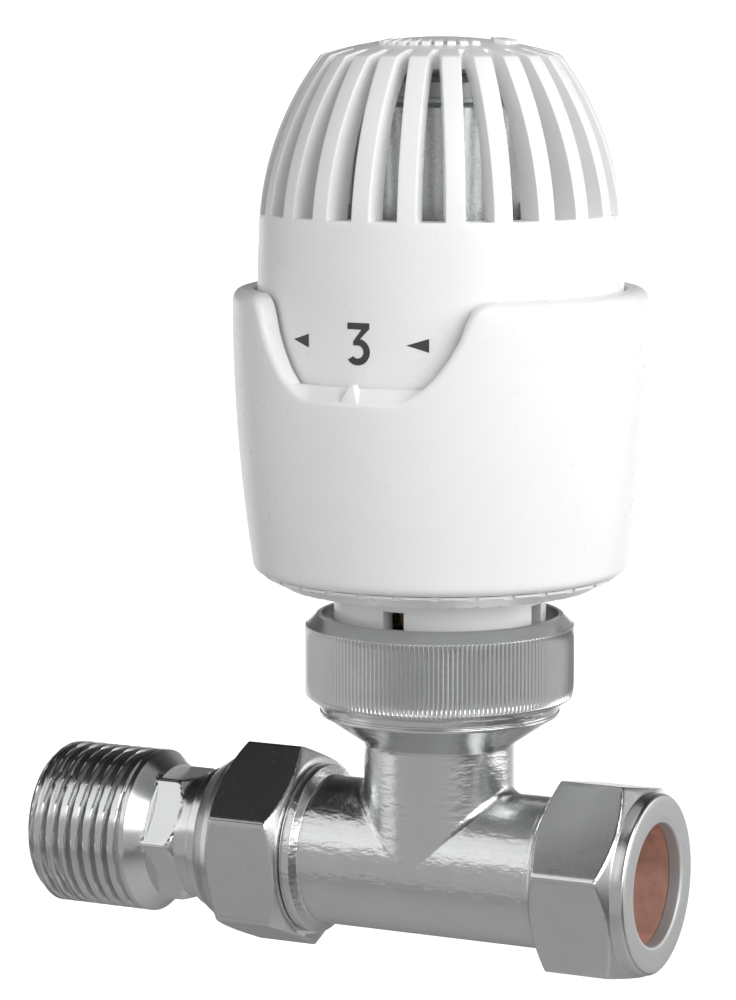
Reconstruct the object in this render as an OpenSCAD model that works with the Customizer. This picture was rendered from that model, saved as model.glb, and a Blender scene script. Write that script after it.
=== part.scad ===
// Straight thermostatic radiator valve with a liquid-filled sensor head.
// The pipe run lies along X, the head stands on Z, and the dial pointer faces -Y.
// The origin is on the run axis, at the first full crest of the radiator tail thread.

/* [Run] */
// Distance from the first tail crest to the head axis
head_x = 53.6; // [52:0.1:56]
// Radius of the bore that takes the copper pipe
pipe_bore_r = 7.6; // [7.5:0.05:7.7]
// Crest radius of the half inch pipe thread on the tail
thread_r = 10.478; // [10.4:0.002:10.5]
// Crest radius of the body's threads under the two large nuts
body_thread_r = 10.25; // [10.2:0.01:10.3]
// Pitch of the half inch pipe threads
thread_pitch = 1.814; // [1.8:0.002:1.83]
// Outer radius of the valve body's run
run_r = 9.45; // [9.3:0.05:9.6]
// Outer radius of the valve body's neck
neck_r = 9.3; // [9.1:0.05:9.4]
// Radius of the waterways
water_r = 6.2; // [5.5:0.1:6.4]
// Distance from the head axis to the end of the compression nut
nut_end_x = 29.6; // [29:0.1:31]
// Across-flats size of the two large nuts
nut_flats = 23.3; // [23:0.1:24]
// Across-flats size of the tailpiece hexagon
tail_flats = 15.7; // [15:0.1:15.9]

/* [Valve insert] */
// Radius of the seat orifice
seat_r = 4.2; // [3.8:0.1:4.4]
// Height of the seat lip above the run axis
seat_z = 3.0; // [2.8:0.1:3.2]
// Gap between washer and seat at the rest setting
seat_gap = 2.15; // [2.1:0.05:2.3]
// Radius of the valve pin
pin_r = 1.5; // [1.3:0.1:1.6]
// Height of the pin's tip at the rest setting
pin_top_z = 39.6; // [39.2:0.1:39.8]

/* [Head] */
// Radius of the knob's number band
band_r = 22.55; // [22.3:0.05:22.6]
// Largest radius of the fixed skirt
skirt_r = 25.65; // [25.5:0.05:26.5]
// Height of the skirt's rim
rim_z = 72.2; // [71.5:0.1:73]
// Height of the skirt's lower edge
skirt_low_z = 37; // [36.8:0.1:37.2]
// Height where the knob's shoulder curve leaves the band
shoulder_z = 78; // [77:0.5:79]
// Radius of the shoulder curve
shoulder_arc_r = 37; // [36:0.5:38]
// Height of the crown's edge
crown_edge_z = 100.6; // [100:0.1:101]
// Radius of the crown's curve
crown_arc_r = 50.6; // [48:0.2:60]
// Number of grip ribs
rib_count = 24; // [20:1:26]
// Thickness of a grip rib
rib_t = 2.35; // [2.2:0.05:2.5]
// Height of the floor of the grip slots
slot_floor_z = 81.4; // [81:0.1:82]

/* [Head nut] */
// Radius over the knurl
knurl_r = 16.75; // [16.6:0.05:17]
// Number of knurl ridges
knurl_count = 180; // [120:12:180]
// Crest radius of the body's head thread
boss_r = 15.0; // [14.95:0.01:15]
// Radius of the head's collar
collar_r = 13.18; // [13.1:0.02:13.3]

/* [Sensor] */
// Radius of the sensor capsule
sensor_r = 9.5; // [9:0.1:9.5]
// Height of the sensor capsule's top
sensor_top_z = 95; // [94:0.1:95.2]
// Crest radius of the carrier's lift thread
carrier_r = 18.0; // [17.9:0.02:18.04]

/* [Hidden] */
$fn = 96;
thread_play = 0.05;
slide_play = 0.15;
thread_depth = 1.16;
thread_lead_in = 0.9;

// Run stations, measured from the head axis, positive towards the pipe socket
tail_end_x = -head_x - 0.8;
tail_shoulder_x = -40.1;
tail_hex_x = [-38.75, -33.7];
tail_face_x = -27.4;
union_end_x = -26.6;
union_runout_x = -18.6;
body_collar_x = [-17.3, -15.8];
body_collar_r = 10.7;
comp_end_x = 23.8;
union_nut_x = [-30.0, -17.3];
union_step_x = -28.9;
comp_nut_x = [17.3, nut_end_x];
olive_x = [22.6, 28.0];
socket_mouth_x = 22.2;
socket_stop_x = 11.5;
barrel_r = 9.0;
tail_bore_r = 6.5;

// Boss and insert stations on the head axis
boss_z = [18.9, 26];
counterbore_r = 10.6;
counterbore_z = 19.5;
insert_z = [12.0, 30.0];
insert_bore_r = 7.6;
chamber_r = 7.0;
chamber_z = seat_z - 0.6;
spring_floor_z = 13.2;
washer_z = seat_z + seat_gap;
spring_collar_z = 20.8;

// Head stations
knurl_z = [21.4, 30.3];
nut_top_z = 31.7;
groove_z = [28.2, 29.4];
floor_z = skirt_low_z + 1.4;
floor_t = 2;
hub_z = floor_z + floor_t;
rim_gap = 0.5;
rim_inner_r = band_r + rim_gap;
wall_t = 2;
arc_centre_r = band_r - 0.15 - shoulder_arc_r;
crown_edge_r = arc_centre_r + sqrt(pow(shoulder_arc_r, 2) - pow(crown_edge_z - shoulder_z, 2));
rail_angles = [90, 210, 330];
rail_r = 12.3;
rail_t = 3.9;
rail_w = 5;
rail_h = 25.5;

// ---- Frames and shared shapes ----

module on_head() {
    translate([head_x, 0, 0]) children();
}

// Turns local Z onto +X, with local zero on the head axis.
module on_run() {
    translate([head_x, 0, 0]) rotate([0, 90, 0]) children();
}

module turned(outline) {
    rotate_extrude() polygon(outline);
}

module rod(r, low, high) {
    translate([0, 0, low]) cylinder(r = r, h = high - low);
}

module ring(r_out, r_in, low, high) {
    difference() {
        rod(r_out, low, high);
        rod(r_in, low - 1, high + 1);
    }
}

module hexagon(flats, low, high, turn = 0) {
    translate([0, 0, low]) rotate(turn)
        cylinder(r = flats / 2 / cos(30), h = high - low, $fn = 6);
}

module oring(r, wire_r, z) {
    translate([0, 0, z]) rotate_extrude() translate([r, 0]) circle(wire_r);
}

// A hexagon whose ends are turned down to a chamfer, as a bar-turned nut has.
module chamfered_hexagon(flats, low, high, turn = 0) {
    face_r = flats / 2 - 0.25;
    over_r = flats / 2 / cos(30) + 0.5;
    drop = (over_r - face_r) * tan(30);
    intersection() {
        hexagon(flats, low, high, turn);
        turned([
            [0, low], [face_r, low], [over_r, low + drop],
            [over_r, high - drop], [face_r, high], [0, high]
        ]);
    }
}

// Outline points of a row of V grooves with flat crests, from low to high.
function groove_points(low, count, pitch, crest_r, depth) = [
    for (i = [0 : count - 1])
        let (z = low + i * pitch, land = pitch * 0.3, flank = pitch * 0.3)
        each [
            [crest_r, z], [crest_r, z + land],
            [crest_r - depth, z + land + flank], [crest_r - depth, z + pitch - flank]
        ]
];

function arc_points(cx, cy, r, from, to, steps) = [
    for (i = [0 : steps])
        let (a = from + (to - from) * i / steps)
        [cx + r * cos(a), cy + r * sin(a)]
];

// A round wire wound into a helix, closed at both ends.
module coil(r, wire_r, low, high, turns) {
    sides = 8;
    per_turn = 14;
    count = turns * per_turn;
    rise = (high - low - 2 * wire_r) / count;
    points = [
        for (i = [0 : count], k = [0 : sides - 1])
            let (a = 360 * i / per_turn, b = 360 * k / sides, q = r + wire_r * cos(b))
            [q * cos(a), q * sin(a), low + wire_r + i * rise + wire_r * sin(b)]
    ];
    walls = [
        for (i = [0 : count - 1], k = [0 : sides - 1])
            let (n = (k + 1) % sides)
            [i * sides + k, (i + 1) * sides + k, (i + 1) * sides + n, i * sides + n]
    ];
    first = [for (k = [0 : sides - 1]) k];
    last = [for (k = [sides - 1 : -1 : 0]) count * sides + k];
    polyhedron(points, concat(walls, [first, last]), convexity = 10);
}

// ---- Valve body and its run ----

module body_outside() {
    step_r = 9.95;
    neck_top_z = 15.2;
    groove_r = boss_r - 0.2;
    on_run() {
        rod(run_r, body_collar_x[1] + 0.5, 15.8);
        turned([
            [0, union_end_x], [body_thread_r - thread_lead_in, union_end_x],
            [body_thread_r, union_end_x + thread_lead_in], [body_thread_r, union_runout_x],
            [run_r, union_runout_x + 0.4], [run_r, body_collar_x[0]], [body_collar_r, body_collar_x[0]],
            [body_collar_r, body_collar_x[1]], [run_r, body_collar_x[1] + 0.7], [0, body_collar_x[1] + 0.7]
        ]);
        turned([
            [0, 15.4], [run_r, 15.4], [step_r, 15.7], [step_r, 16.3], [body_thread_r, 16.8],
            [body_thread_r, comp_end_x - thread_lead_in],
            [body_thread_r - thread_lead_in, comp_end_x], [0, comp_end_x]
        ]);
    }
    on_head() {
        rod(neck_r, 0, neck_top_z + 0.1);
        turned([
            [0, neck_top_z], [neck_r, neck_top_z], [boss_r - 0.5, boss_z[0]], [boss_r, boss_z[0]],
            [boss_r, 19.3], [groove_r, 19.4], [groove_r, 19.6], [boss_r, 19.7],
            [boss_r, boss_z[1] - 0.8], [boss_r - 0.8, boss_z[1]], [0, boss_z[1]]
        ]);
    }
}

module body_passages() {
    low_axis = -3.0;
    high_axis = 3.2;
    side_r = 4.4;
    on_run() {
        rod(pipe_bore_r, socket_stop_x, socket_mouth_x + 0.2);
        turned([[0, socket_mouth_x], [pipe_bore_r, socket_mouth_x], [8.7, 24], [0, 24]]);
        rod(water_r, 9.2, socket_stop_x + 1);
        rod(water_r, union_end_x - 1, -11);
        translate([-low_axis, 0, 0]) rod(side_r, -seat_r - 0.4, 9.7);
        translate([-high_axis, 0, 0]) rod(side_r, -12, -6.0);
    }
    on_head() {
        rod(seat_r, low_axis, seat_z + 1);
        difference() {
            rod(chamber_r, chamber_z, insert_z[0] + 0.2);
            ring(seat_r + 1, seat_r - 1, chamber_z - 1, seat_z);
        }
        rod(insert_bore_r, insert_z[0], counterbore_z + 1);
        rod(counterbore_r, counterbore_z, boss_z[1] + 1);
    }
}

module valve_body() {
    color([0.80, 0.79, 0.77]) difference() {
        body_outside();
        body_passages();
    }
}

module tailpiece() {
    crests = 7;
    first_crest = -head_x;
    last_x = first_crest + crests * thread_pitch;
    color([0.80, 0.79, 0.77]) on_run() difference() {
        union() {
            turned(concat(
                [[0, tail_end_x], [thread_r - thread_lead_in, tail_end_x]],
                groove_points(first_crest, crests, thread_pitch, thread_r, thread_depth),
                [
                    [thread_r, last_x], [thread_r, tail_shoulder_x],
                    [8.5, -37.65], [7.6, -37.6], [7.6, -33.9], [8.6, -33.9],
                    [8.6, -31.7], [barrel_r, -31.4], [barrel_r, -28.8], [8.2, -28.7],
                    [8.2, -28.0], [barrel_r, -27.9], [barrel_r, tail_face_x],
                    [0, tail_face_x]
                ]
            ));
            chamfered_hexagon(tail_flats, tail_hex_x[0], tail_hex_x[1], 30);
        }
        rod(tail_bore_r, tail_end_x - 1, tail_face_x + 1);
    }
}

module union_seal() {
    color([0.25, 0.25, 0.25]) on_run() ring(8.9, 6.6, tail_face_x, union_end_x);
}

// Split wire ring that holds the union nut on the tailpiece.
module union_ring() {
    color([0.55, 0.55, 0.56]) on_run() difference() {
        ring(10.0, 8.25, -28.65, -28.05);
        translate([8, -0.6, -29]) cube([4, 1.2, 2]);
    }
}

module union_nut() {
    flat_r = nut_flats / 2;
    color([0.80, 0.79, 0.77]) on_run() difference() {
        union() {
            chamfered_hexagon(nut_flats, -27.3, union_nut_x[1], 7.4);
            turned([
                [0, union_nut_x[0]], [10.0, union_nut_x[0]], [10.6, -29.7],
                [11.0, -28.9], [flat_r - 0.4, -27.2], [0, -27.2]
            ]);
        }
        rod(body_thread_r + thread_play, tail_face_x, union_nut_x[1] + 1);
        rod(10.3, union_step_x, -27);
        rod(barrel_r + 0.3, union_nut_x[0] - 1, union_step_x + 1);
    }
}

module compression_nut() {
    flat_r = nut_flats / 2;
    color([0.80, 0.79, 0.77]) on_run() difference() {
        union() {
            chamfered_hexagon(nut_flats, comp_nut_x[0], 27.8, 18.9);
            turned([
                [0, 27.6], [flat_r - 0.35, 27.6], [11.2, 28.0],
                [11.15, nut_end_x - 0.4], [10.75, nut_end_x], [0, nut_end_x]
            ]);
        }
        rod(body_thread_r + thread_play, comp_nut_x[0] - 1, 24.6);
        turned([
            [0, 24.5], [body_thread_r + thread_play, 24.5], [9.5, 25.4],
            [9.2, 27.0], [8.2, olive_x[1]], [0, olive_x[1]]
        ]);
        rod(pipe_bore_r, olive_x[1] - 1, nut_end_x + 1);
    }
}

module olive() {
    olive_r = 8.75;
    color([0.62, 0.42, 0.36]) on_run() difference() {
        turned([
            [0, olive_x[0]], [7.75, olive_x[0]], [8.48, comp_end_x], [olive_r, 24.3],
            [olive_r, 26.6], [7.9, olive_x[1] - 0.1], [0, olive_x[1] - 0.1]
        ]);
        rod(pipe_bore_r, olive_x[0] - 1, olive_x[1] + 1);
    }
}

// ---- Valve insert ----

module insert_housing() {
    color([0.78, 0.66, 0.38]) on_head() difference() {
        union() {
            turned([
                [0, insert_z[0]], [7.3, insert_z[0]], [7.55, 12.3], [7.55, 16.5],
                [6.2, 16.5], [6.2, 18.0], [7.55, 18.0], [7.55, 19.3], [7.0, 19.5],
                [10.3, 19.5], [10.3, 22], [0, 22]
            ]);
            hexagon(17, 22, 27.5);
            rod(7.0, 27.5, insert_z[1]);
        }
        rod(pin_r + 0.1, insert_z[0] - 1, spring_floor_z + 1);
        rod(5.0, spring_floor_z, 24.6);
        rod(5.5, 24.5, insert_z[1] + 1);
    }
}

module insert_oring() {
    color([0.12, 0.12, 0.12]) on_head() oring(6.87, 0.66, 17.25);
}

module gland_nut() {
    color([0.78, 0.66, 0.38]) on_head() difference() {
        union() {
            rod(5.45, 24.55, insert_z[1]);
            chamfered_hexagon(13, insert_z[1], 33.2, 15);
        }
        rod(pin_r + 0.1, 24, 34);
        rod(3.25, 26, 27.8);
    }
}

module gland_seal() {
    color([0.12, 0.12, 0.12]) on_head() oring(pin_r + 0.85, 0.8, 26.9);
}

module return_spring() {
    color([0.6, 0.61, 0.62]) on_head() coil(3.4, 0.45, spring_floor_z + 0.02, spring_collar_z - 0.02, 5);
}

module valve_pin() {
    color([0.7, 0.71, 0.72]) on_head() turned([
        [0, washer_z - 1.9], [1.2, washer_z - 1.9], [1.2, washer_z + 3.75],
        [pin_r, washer_z + 3.75], [pin_r, pin_top_z - 0.4],
        [pin_r - 0.4, pin_top_z], [0, pin_top_z]
    ]);
}

module pin_collar() {
    color([0.6, 0.61, 0.62]) on_head() ring(4.6, pin_r, spring_collar_z, spring_collar_z + 1);
}

module plunger() {
    color([0.78, 0.66, 0.38]) on_head() difference() {
        turned([
            [0, washer_z + 1.0], [6.2, washer_z + 1.0], [6.2, washer_z + 3.2],
            [5.7, washer_z + 3.75], [0, washer_z + 3.75]
        ]);
        rod(5.6, washer_z, washer_z + 1.8);
        rod(1.2, washer_z, washer_z + 5);
    }
}

module seat_washer() {
    color([0.13, 0.13, 0.13]) on_head() ring(5.6, 1.2, washer_z, washer_z + 1.8);
}

module washer_nut() {
    color([0.78, 0.66, 0.38]) on_head() difference() {
        hexagon(4.6, washer_z - 1.5, washer_z);
        rod(1.2, washer_z - 2, washer_z + 1);
    }
}

// ---- Head nut ----

module knurl_band() {
    pitch = 360 / knurl_count;
    root_r = knurl_r - 0.28;
    linear_extrude(knurl_z[1] - knurl_z[0]) polygon([
        for (i = [0 : knurl_count - 1])
            each [
                [knurl_r * cos(i * pitch), knurl_r * sin(i * pitch)],
                [root_r * cos((i + 0.5) * pitch), root_r * sin((i + 0.5) * pitch)]
            ]
    ]);
}

module head_nut() {
    core_r = knurl_r - 0.45;
    color([0.80, 0.79, 0.77]) on_head() difference() {
        union() {
            translate([0, 0, knurl_z[0]]) knurl_band();
            turned([
                [0, 20.6], [15.56, 20.6], [core_r, knurl_z[0]], [core_r, knurl_z[1]],
                [15.3, nut_top_z - 0.15], [15.1, nut_top_z], [0, nut_top_z]
            ]);
        }
        rod(boss_r + thread_play, 20, groove_z[0] + 0.5);
        rod(15.5, groove_z[0], groove_z[1]);
        rod(14.75, groove_z[1] - 0.5, nut_top_z + 1);
    }
}

// Split ring in the nut's groove: it bears on the collar's flange.
module nut_retaining_ring() {
    color([0.55, 0.55, 0.56]) on_head() difference() {
        ring(15.4, 13.5, 28.35, 29.25);
        translate([-0.8, 10, 28]) cube([1.6, 8, 2]);
    }
}

// ---- Fixed part of the head ----

module head_base() {
    slot_w = 2.8;
    color([0.93, 0.93, 0.91]) on_head() difference() {
        union() {
            turned([
                [0, 26.02], [14.3, 26.02], [14.4, 27.8], [14.2, 28.0], [collar_r, 28.0],
                [collar_r, floor_z], [21.1, floor_z], [21.1, hub_z],
                [17.0, hub_z], [17.0, hub_z + 5], [0, hub_z + 5]
            ]);
            for (a = rail_angles) rotate(a)
                translate([rail_r, -rail_w / 2, hub_z]) cube([rail_t, rail_w, rail_h]);
        }
        rod(10.6, 20, floor_z + 1);
        rod(12.2, floor_z + 0.9, hub_z + 40);
        for (a = [0, 90]) rotate(a)
            translate([-20, -slot_w / 2, 25]) cube([40, slot_w, 8.5]);
    }
}

// Ring of grip teeth under the skirt, with small notches where it meets the collar.
module base_ring() {
    teeth = 30;
    notches = 42;
    inner_r = collar_r + 0.1;
    hole_r = 19.5;
    flange_r = 21.9;
    low_z = 35.2;
    flange_z = skirt_low_z - 0.1;
    color([0.93, 0.93, 0.91]) on_head() difference() {
        turned([
            [inner_r, low_z], [19.2, low_z], [19.6, low_z + 0.25], [flange_r, flange_z - 0.3],
            [flange_r, flange_z], [hole_r, flange_z], [hole_r, floor_z], [inner_r, floor_z]
        ]);
        for (i = [0 : teeth - 1]) rotate((i + 0.5) * 360 / teeth)
            translate([flange_r - 0.4, -0.6, flange_z - 0.5]) cube([2, 1.2, 1]);
        for (i = [0 : notches - 1]) rotate(i * 360 / notches)
            translate([19.0, -0.35, low_z - 1]) cube([2, 0.7, 1.2]);
    }
}

module knob_retainer() {
    low_z = hub_z + 2.8;
    color([0.3, 0.3, 0.3]) on_head() difference() {
        ring(17.85, 17.0, low_z, low_z + 1.1);
        translate([-1, 10, low_z - 1]) cube([2, 9, 3]);
    }
}

// Outside of the skirt: a slow curve, round at the rim and at the foot.
function skirt_side_r(z) = skirt_r - (215 - sqrt(pow(215, 2) - pow(70 - z, 2)));

module skirt_shell() {
    round_r = 1.8;
    foot_round_r = 1.4;
    foot_z = skirt_low_z + foot_round_r;
    top_c = [skirt_r - round_r, rim_z - round_r];
    foot_c = [skirt_side_r(foot_z) - foot_round_r, foot_z];
    turned(concat(
        [[20.2, skirt_low_z + 0.05], [20.7, skirt_low_z]],
        arc_points(foot_c[0], foot_c[1], foot_round_r, -90, 0, 4),
        [for (z = [44 : 6.5 : 63.5]) [skirt_side_r(z), z]],
        arc_points(top_c[0], top_c[1], round_r, 0, 90, 4),
        [
            [rim_inner_r + 0.3, rim_z], [rim_inner_r, rim_z - 0.3],
            [rim_inner_r, 56], [21.3, hub_z + 0.5], [21.3, floor_z], [20.2, floor_z]
        ]
    ));
}

// Half of the window's outline on the skirt's face: distance from its middle, then height.
window_side = [[6.4, 60.1], [8.2, 61.6], [11.6, 65.4], [13.1, 67.8], [14.0, 70.8], [15.6, 72.1], [15.9, 75]];
window_taper = 0.07;

// The window's cutter widens outwards about the middle of the rim.
function window_scale(x) = 1 + window_taper * (sqrt(skirt_r * skirt_r - x * x) - rim_inner_r);
function window_base(p, side) = [
    side * p[0] / window_scale(p[0]),
    (p[1] - rim_z) / window_scale(p[0])
];

module window_cutter() {
    depth = 12;
    half = len(window_side) - 1;
    outline = concat(
        [for (i = [0 : half]) window_base(window_side[i], 1)],
        [for (i = [half : -1 : 0]) window_base(window_side[i], -1)]
    );
    near = 1 - window_taper * (rim_inner_r - 18);
    far = near + window_taper * depth;
    translate([0, -18, rim_z]) rotate([90, 0, 0])
        linear_extrude(depth, scale = far / near) scale(near) polygon(outline);
}

module pointer() {
    translate([0, -rim_inner_r - 0.15, 60.6]) rotate([90, 0, 0])
        linear_extrude(2.0) polygon([[-1.3, -0.8], [1.3, -0.8], [0.15, 1.2], [-0.15, 1.2]]);
}

module skirt() {
    color([0.95, 0.95, 0.93]) on_head() {
        difference() {
            skirt_shell();
            window_cutter();
        }
        pointer();
    }
}

// ---- Knob ----

// Outside of the knob, from the band's lower edge over the shoulder to the crown.
function knob_outside(shift) = concat(
    [[band_r - shift, shoulder_z - 5]],
    [
        for (i = [0 : 7])
            let (z = shoulder_z + (crown_edge_z - shoulder_z) * i / 7)
            [arc_centre_r + sqrt(pow(shoulder_arc_r, 2) - pow(z - shoulder_z, 2)) - shift, z - shift * i / 9]
    ]
);

function crown_z(r) = crown_edge_z + sqrt(pow(crown_arc_r, 2) - r * r)
    - sqrt(pow(crown_arc_r, 2) - pow(crown_edge_r, 2));

module grip_slot() {
    half = 180 / rib_count;
    apex_r = rib_t / 2 / sin(half);
    inner_r = 11.7;
    outer_r = 26;
    near = (inner_r - apex_r) * tan(half);
    far = (outer_r - apex_r) * tan(half);
    translate([0, 0, slot_floor_z]) linear_extrude(30)
        polygon([[inner_r, -near], [outer_r, -far], [outer_r, far], [inner_r, near]]);
}

module knob() {
    rib_depth = 3.8;
    crown_t = 2.4;
    low_z = 59.2;
    ledge_z = slot_floor_z - 2;
    color([0.95, 0.95, 0.93]) on_head() difference() {
        turned(concat(
            [[band_r - wall_t, low_z], [band_r - 0.4, low_z], [band_r, low_z + 0.4]],
            knob_outside(0),
            [for (r = [11, 7, 3.5, 0]) [r, crown_z(r)]],
            [for (r = [0, 5, 9]) [r, crown_z(r) - crown_t]],
            [for (i = [8 : -1 : 2]) knob_outside(rib_depth)[i]],
            [[band_r - 4, ledge_z], [band_r - wall_t, ledge_z - 1.5]]
        ));
        for (i = [0 : rib_count - 1]) rotate((i + 0.5) * 360 / rib_count) grip_slot();
    }
}

// Inner sleeve of the knob: its thread lifts the carrier, its foot lip turns on the hub.
module drive_sleeve() {
    bore = carrier_r + thread_play;
    foot_z = hub_z + 0.4;
    lip_r = 17.35;
    lip_top_z = foot_z + 1.9;
    color([0.86, 0.86, 0.84]) on_head() difference() {
        turned([
            [lip_r, foot_z], [19.6, foot_z], [19.6, 61.0], [band_r - wall_t, 61.0],
            [band_r - wall_t, 63.0], [19.6, 63.0], [19.6, 68.0], [bore, 68.0],
            [bore, lip_top_z], [lip_r, lip_top_z]
        ]);
        for (a = [0 : 60 : 300]) rotate(a)
            translate([19.75, -4, 60]) cube([3, 8, 4]);
    }
}

// ---- Sensor ----

module sensor_carrier() {
    color([0.86, 0.86, 0.84]) on_head() difference() {
        turned([
            [7.6, 53.5], [11.0, 53.5], [11.4, 54.0], [11.4, 57.0], [carrier_r - 0.6, 57.0],
            [carrier_r, 57.6], [carrier_r, 61.4], [carrier_r - 0.6, 62.0], [11.4, 62.0],
            [11.4, 65.0], [sensor_r, 65.0], [sensor_r, 55.0], [7.6, 55.0]
        ]);
        for (a = rail_angles) rotate(a)
            translate([rail_r - slide_play * 2, -rail_w / 2 - slide_play, 50])
                cube([rail_t + slide_play * 4, rail_w + slide_play * 2, 20]);
    }
}

module sensor_capsule() {
    color([0.62, 0.60, 0.58]) on_head() difference() {
        turned([
            [0, 55.0], [sensor_r, 55.0], [sensor_r, sensor_top_z - 0.6],
            [sensor_r - 0.6, sensor_top_z], [0, sensor_top_z]
        ]);
        rod(8.7, 56.4, sensor_top_z - 1);
        rod(2.6, 50, 60);
    }
}

module sensor_cap() {
    color([0.16, 0.16, 0.17]) on_head() turned([
        [0, sensor_top_z], [9.7, sensor_top_z], [9.7, 95.5], [9.1, 95.6], [9.1, 97.4],
        [8.4, 98.1], [0, 98.1]
    ]);
}

module sensor_bellows() {
    folds = 8;
    low = 56.4;
    pitch = 3.3;
    top = low + folds * pitch;
    wall = 0.3;
    outside = [for (i = [0 : folds - 1]) each [[5.0, low + i * pitch], [7.4, low + (i + 0.5) * pitch]]];
    inside = [
        for (i = [folds - 1 : -1 : 0])
            each [[7.4 - wall * 1.6, low + (i + 0.5) * pitch], [5.0 - wall, low + i * pitch]]
    ];
    color([0.74, 0.6, 0.36]) on_head() turned(concat(
        outside, [[5.0, top], [0, top], [0, top - 0.6], [5.0 - wall * 2, top - 0.6]], inside
    ));
}

module sensor_piston() {
    color([0.7, 0.71, 0.72]) on_head() turned([
        [0, 52.0], [2.5, 52.0], [2.5, 81.0], [1.7, 82.1], [0, 82.1]
    ]);
}

module spring_cup() {
    color([0.3, 0.3, 0.3]) on_head() turned([
        [4.2, 41.4], [6.6, 41.4], [7.0, 41.8], [7.0, 51.4], [6.4, 52.0], [0, 52.0],
        [0, 50.6], [5.8, 50.6], [5.8, 42.6], [4.2, 42.6]
    ]);
}

module push_button() {
    color([0.86, 0.86, 0.84]) on_head() turned([
        [0, pin_top_z], [3.4, pin_top_z], [3.9, pin_top_z + 0.5], [3.9, 42.6],
        [5.5, 42.6], [5.5, 43.8], [3.4, 43.8], [3.4, 45.2], [0, 45.2]
    ]);
}

module overtravel_spring() {
    color([0.6, 0.61, 0.62]) on_head() coil(4.6, 0.55, 43.82, 50.58, 4);
}

valve_body();
insert_housing();
insert_oring();
gland_nut();
gland_seal();
return_spring();
tailpiece();
union_nut();
union_ring();
union_seal();
compression_nut();
olive();
head_base();
skirt();
base_ring();
knob_retainer();
head_nut();
nut_retaining_ring();
knob();
drive_sleeve();
sensor_carrier();
sensor_capsule();
sensor_cap();
sensor_bellows();
sensor_piston();
spring_cup();
overtravel_spring();
push_button();
valve_pin();
pin_collar();
plunger();
seat_washer();
washer_nut();
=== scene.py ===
"""Looks of a straight thermostatic radiator valve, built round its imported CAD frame.

Shapes are worked out in millimetres and written to Blender in metres. Two local frames are used:
"head" has its third coordinate up the head axis, and "run" has it along the pipe run from the
head axis towards the pipe socket. Angles on the head are counted from the dial's front, -Y.
"""
import math

import bmesh
import bpy
import numpy as np
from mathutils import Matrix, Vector


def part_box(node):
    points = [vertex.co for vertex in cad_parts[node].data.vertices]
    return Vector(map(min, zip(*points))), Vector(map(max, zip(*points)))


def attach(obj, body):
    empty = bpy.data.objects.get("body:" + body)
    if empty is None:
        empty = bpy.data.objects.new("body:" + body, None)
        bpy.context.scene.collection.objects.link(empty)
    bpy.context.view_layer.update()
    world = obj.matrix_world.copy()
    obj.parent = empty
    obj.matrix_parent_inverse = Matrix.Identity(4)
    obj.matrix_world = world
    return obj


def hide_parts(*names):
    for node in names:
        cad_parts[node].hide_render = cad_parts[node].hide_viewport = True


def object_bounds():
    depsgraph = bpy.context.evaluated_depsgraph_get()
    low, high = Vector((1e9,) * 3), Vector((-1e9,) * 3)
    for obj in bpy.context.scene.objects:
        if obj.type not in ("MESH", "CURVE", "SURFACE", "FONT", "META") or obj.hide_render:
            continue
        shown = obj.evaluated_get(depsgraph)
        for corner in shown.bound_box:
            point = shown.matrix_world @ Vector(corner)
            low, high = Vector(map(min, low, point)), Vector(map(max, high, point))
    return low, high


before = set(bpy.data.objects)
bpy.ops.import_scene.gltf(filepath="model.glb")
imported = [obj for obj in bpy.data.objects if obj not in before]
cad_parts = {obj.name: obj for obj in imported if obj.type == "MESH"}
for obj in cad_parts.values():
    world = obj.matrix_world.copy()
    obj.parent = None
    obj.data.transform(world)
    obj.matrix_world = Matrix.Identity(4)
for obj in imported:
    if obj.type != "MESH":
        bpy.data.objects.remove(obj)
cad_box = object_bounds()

MM = 0.001
BODY_FIXED = "valve"
FLAT_CORNER = math.radians(88)


def node_mm(node):
    """Lowest and highest corner of a CAD node, in millimetres."""
    low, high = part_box(node)
    return [v / MM for v in low], [v / MM for v in high]


# ---- Driving sizes, taken from the frame where it has them ----

knob_low, knob_high = node_mm("knob")
skirt_low, skirt_high = node_mm("skirt")
nut_top_z = node_mm("head_nut")[1][2]
tail_low, tail_high = node_mm("tailpiece")
union_low, union_high = node_mm("union_nut")
comp_low, comp_high = node_mm("compression_nut")

RIM_MARGIN = 0.03
HEAD_X = (knob_low[0] + knob_high[0]) / 2
BAND_R = (knob_high[0] - knob_low[0]) / 2
SKIRT_R = (skirt_high[0] - skirt_low[0]) / 2 - RIM_MARGIN
RIM_Z = skirt_high[2]
SKIRT_LOW_Z = skirt_low[2]

RIB_COUNT = 24
RIB_T = 2.35
SLOT_FLOOR_Z = 81.4
SLOT_END_R = 11.7
SHOULDER_Z = 78.0
SHOULDER_R = 37.0
CROWN_EDGE_Z = 100.6
CROWN_R = 50.6
RIB_DEPTH = 3.8
CROWN_T = 2.4
RIM_INNER_R = BAND_R + 0.5

RUN_R = 9.42
NECK_TOP = 14.6
THREAD_R = 10.478
BODY_THREAD_R = 10.25
THREAD_PITCH = 1.814
THREAD_DEPTH = 1.16
PIPE_R = 7.6
WATER_R = 6.2
PORT_R = 4.4
SEAT_R = 4.2
BOSS_R = 15.0
NUT_FLATS = 23.3
TAIL_FLATS = 15.7
DIAL_STEP = 40.7


# ---- Mesh helpers ----

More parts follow.
